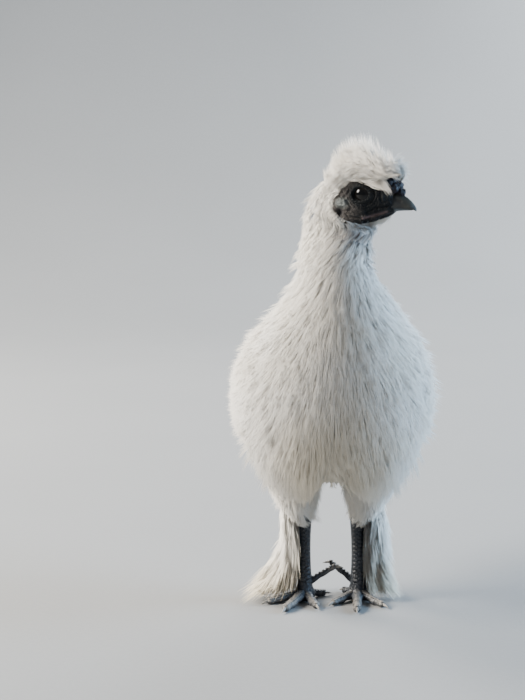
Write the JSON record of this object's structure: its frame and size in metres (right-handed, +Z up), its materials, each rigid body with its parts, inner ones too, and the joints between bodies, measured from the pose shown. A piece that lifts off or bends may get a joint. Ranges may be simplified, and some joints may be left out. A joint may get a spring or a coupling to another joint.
{
  "type": "silkie chicken model",
  "caption": "Life-size still model of a young white silkie chicken, standing alert with its head turned aside, with a fluffy crest, bare dark face and feathered feet.",
  "frame": {"origin": "on the floor, under the middle of the whole bird", "axes": "+Z up; the bird's body faces -Y; its own left side is +X"},
  "size_m": [0.1408, 0.2251, 0.3259],
  "materials": {
    "plumage": "silky cream-white plumage",
    "face": "bare dark wrinkled skin",
    "comb": "near-black bumpy skin with a soft sheen",
    "ear_lobe": "grey-blue bare skin",
    "bill": "dark slate horn with a paler tip",
    "eye": "wet, near black",
    "scales": "dark slate-blue scales",
    "claw": "pale grey-tan horn"
  },
  "bodies": {
    "root": {"crest": "plumage", "neck": "plumage", "torso": "plumage", "tail": "plumage", "wing_left": "plumage", "thigh_left": "plumage", "shank_left": "plumage", "wing_right": "plumage", "thigh_right": "plumage", "shank_right": "plumage", "head": "face", "comb": "comb", "bill_upper": "bill", "bill_lower": "bill", "eye_left": "eye", "wattle_left": "comb", "ear_lobe_left": "ear_lobe", "foot_left": "scales", "claw_hallux_left": "claw", "claw_fifth_left": "claw", "claw_inner_left": "claw", "claw_middle_left": "claw", "claw_outer_left": "claw", "eye_right": "eye", "wattle_right": "comb", "ear_lobe_right": "ear_lobe", "foot_right": "scales", "claw_hallux_right": "claw", "claw_fifth_right": "claw", "claw_inner_right": "claw", "claw_middle_right": "claw", "claw_outer_right": "claw"}
  },
  "joints": []
}
